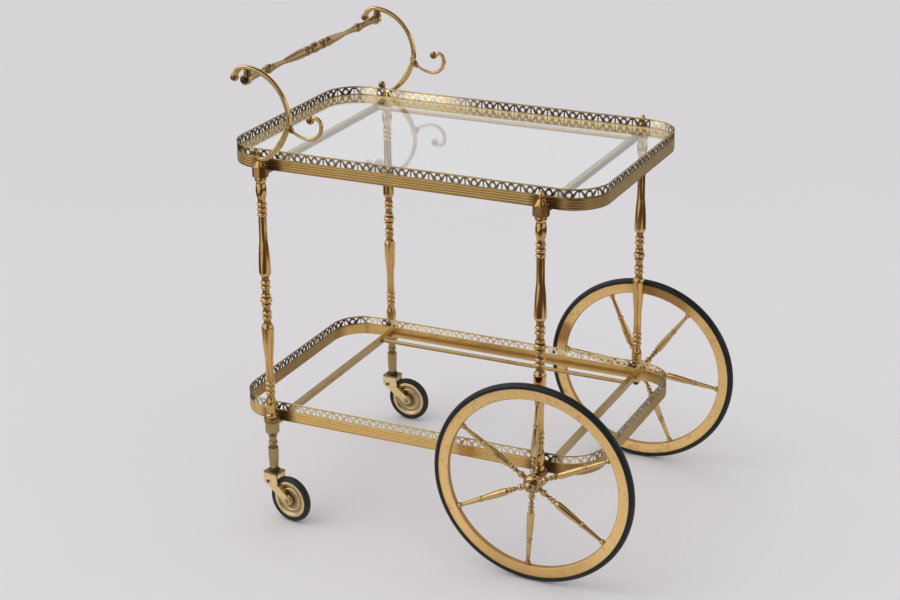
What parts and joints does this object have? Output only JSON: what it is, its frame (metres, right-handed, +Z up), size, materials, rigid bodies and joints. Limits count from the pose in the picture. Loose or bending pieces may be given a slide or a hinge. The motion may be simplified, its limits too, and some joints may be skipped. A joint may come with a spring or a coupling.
{
  "type": "bar cart",
  "caption": "Brass bar cart with an oblong glass tray above an open one, reeded bands, pierced galleries, turned legs, large spoked wheels, swivel casters and a turned handle.",
  "frame": {"origin": "on the floor below the middle of the cart's own box", "axes": "+Z up, +X towards the large wheels and away from the handle, -Y towards the front"},
  "size_m": [0.683, 0.5006, 0.7305],
  "materials": {
    "turned_brass": "polished, aged",
    "tray_brass": "polished, aged",
    "rim_brass": "satin, stained",
    "pale_brass": "satin",
    "dark_stem": "dark bronze",
    "steel": "plain",
    "wheel_rubber": "soft sheen",
    "caster_rubber": "matt",
    "black_cap": "gloss",
    "glass": "clear, polished"
  },
  "bodies": {
    "cart_frame": {"axle_block_front": "turned_brass", "axle_block_rear": "turned_brass", "axle_nuts": "turned_brass", "bar_caps": "black_cap", "capital_front_handle": "turned_brass", "capital_front_wheel": "turned_brass", "capital_rear_handle": "turned_brass", "capital_rear_wheel": "turned_brass", "caster_foot_front": "turned_brass", "caster_foot_rear": "turned_brass", "finial_front": "turned_brass", "finial_rear": "turned_brass", "handle_bar": "turned_brass", "leg_collars": "turned_brass", "leg_plugs": "black_cap", "lower_band": "tray_brass", "lower_crossbar_handle": "tray_brass", "lower_crossbar_wheel": "tray_brass", "lower_gallery_corners": "tray_brass", "lower_gallery_long_sides": "tray_brass", "lower_gallery_short_sides": "tray_brass", "lower_rail_front": "tray_brass", "lower_rail_rear": "tray_brass", "scroll_front": "turned_brass", "scroll_rear": "turned_brass", "spindle_front_handle": "turned_brass", "spindle_front_wheel": "turned_brass", "spindle_rear_handle": "turned_brass", "spindle_rear_wheel": "turned_brass", "tie_rods": "steel", "upper_band": "tray_brass", "upper_crossbar_handle": "tray_brass", "upper_crossbar_wheel": "tray_brass", "upper_gallery_corners": "tray_brass", "upper_gallery_long_sides": "tray_brass", "upper_gallery_short_sides": "tray_brass", "upper_glass": "glass", "upper_rail_front": "tray_brass", "upper_rail_rear": "tray_brass", "wheel_axles": "steel"},
    "front_wheel": {"front_wheel_hub": "turned_brass", "front_wheel_spokes": "turned_brass", "front_wheel_rim": "rim_brass", "front_wheel_tyre": "wheel_rubber"},
    "front_caster_swivel": {"front_caster_stem": "dark_stem", "front_caster_fork": "pale_brass", "front_caster_axle": "pale_brass"},
    "front_caster_wheel": {"front_caster_disc": "pale_brass", "front_caster_tyre": "caster_rubber"},
    "rear_wheel": {"rear_wheel_hub": "turned_brass", "rear_wheel_spokes": "turned_brass", "rear_wheel_rim": "rim_brass", "rear_wheel_tyre": "wheel_rubber"},
    "rear_caster_swivel": {"rear_caster_stem": "dark_stem", "rear_caster_fork": "pale_brass", "rear_caster_axle": "pale_brass"},
    "rear_caster_wheel": {"rear_caster_disc": "pale_brass", "rear_caster_tyre": "caster_rubber"}
  },
  "joints": [
    {"name": "front_wheel_spin", "type": "hinge", "parent": "cart_frame", "child": "front_wheel", "pos_m": [0.1835, -0.231, 0.158], "axis": [0, 1, 0], "continuous": true},
    {"name": "front_caster_turn", "type": "hinge", "parent": "cart_frame", "child": "front_caster_swivel", "pos_m": [-0.2665, -0.207, 0.084], "axis": [0, 0, 1], "continuous": true},
    {"name": "front_caster_roll", "type": "hinge", "parent": "front_caster_swivel", "child": "front_caster_wheel", "pos_m": [-0.23499, -0.21256, 0.0375], "axis": [0.1736, 0.9848, 0], "continuous": true},
    {"name": "rear_wheel_spin", "type": "hinge", "parent": "cart_frame", "child": "rear_wheel", "pos_m": [0.1835, 0.231, 0.158], "axis": [0, 1, 0], "continuous": true},
    {"name": "rear_caster_turn", "type": "hinge", "parent": "cart_frame", "child": "rear_caster_swivel", "pos_m": [-0.2665, 0.207, 0.084], "axis": [0, 0, 1], "continuous": true},
    {"name": "rear_caster_roll", "type": "hinge", "parent": "rear_caster_swivel", "child": "rear_caster_wheel", "pos_m": [-0.23452, 0.20588, 0.0375], "axis": [0.0349, 0.9994, 0], "continuous": true}
  ]
}
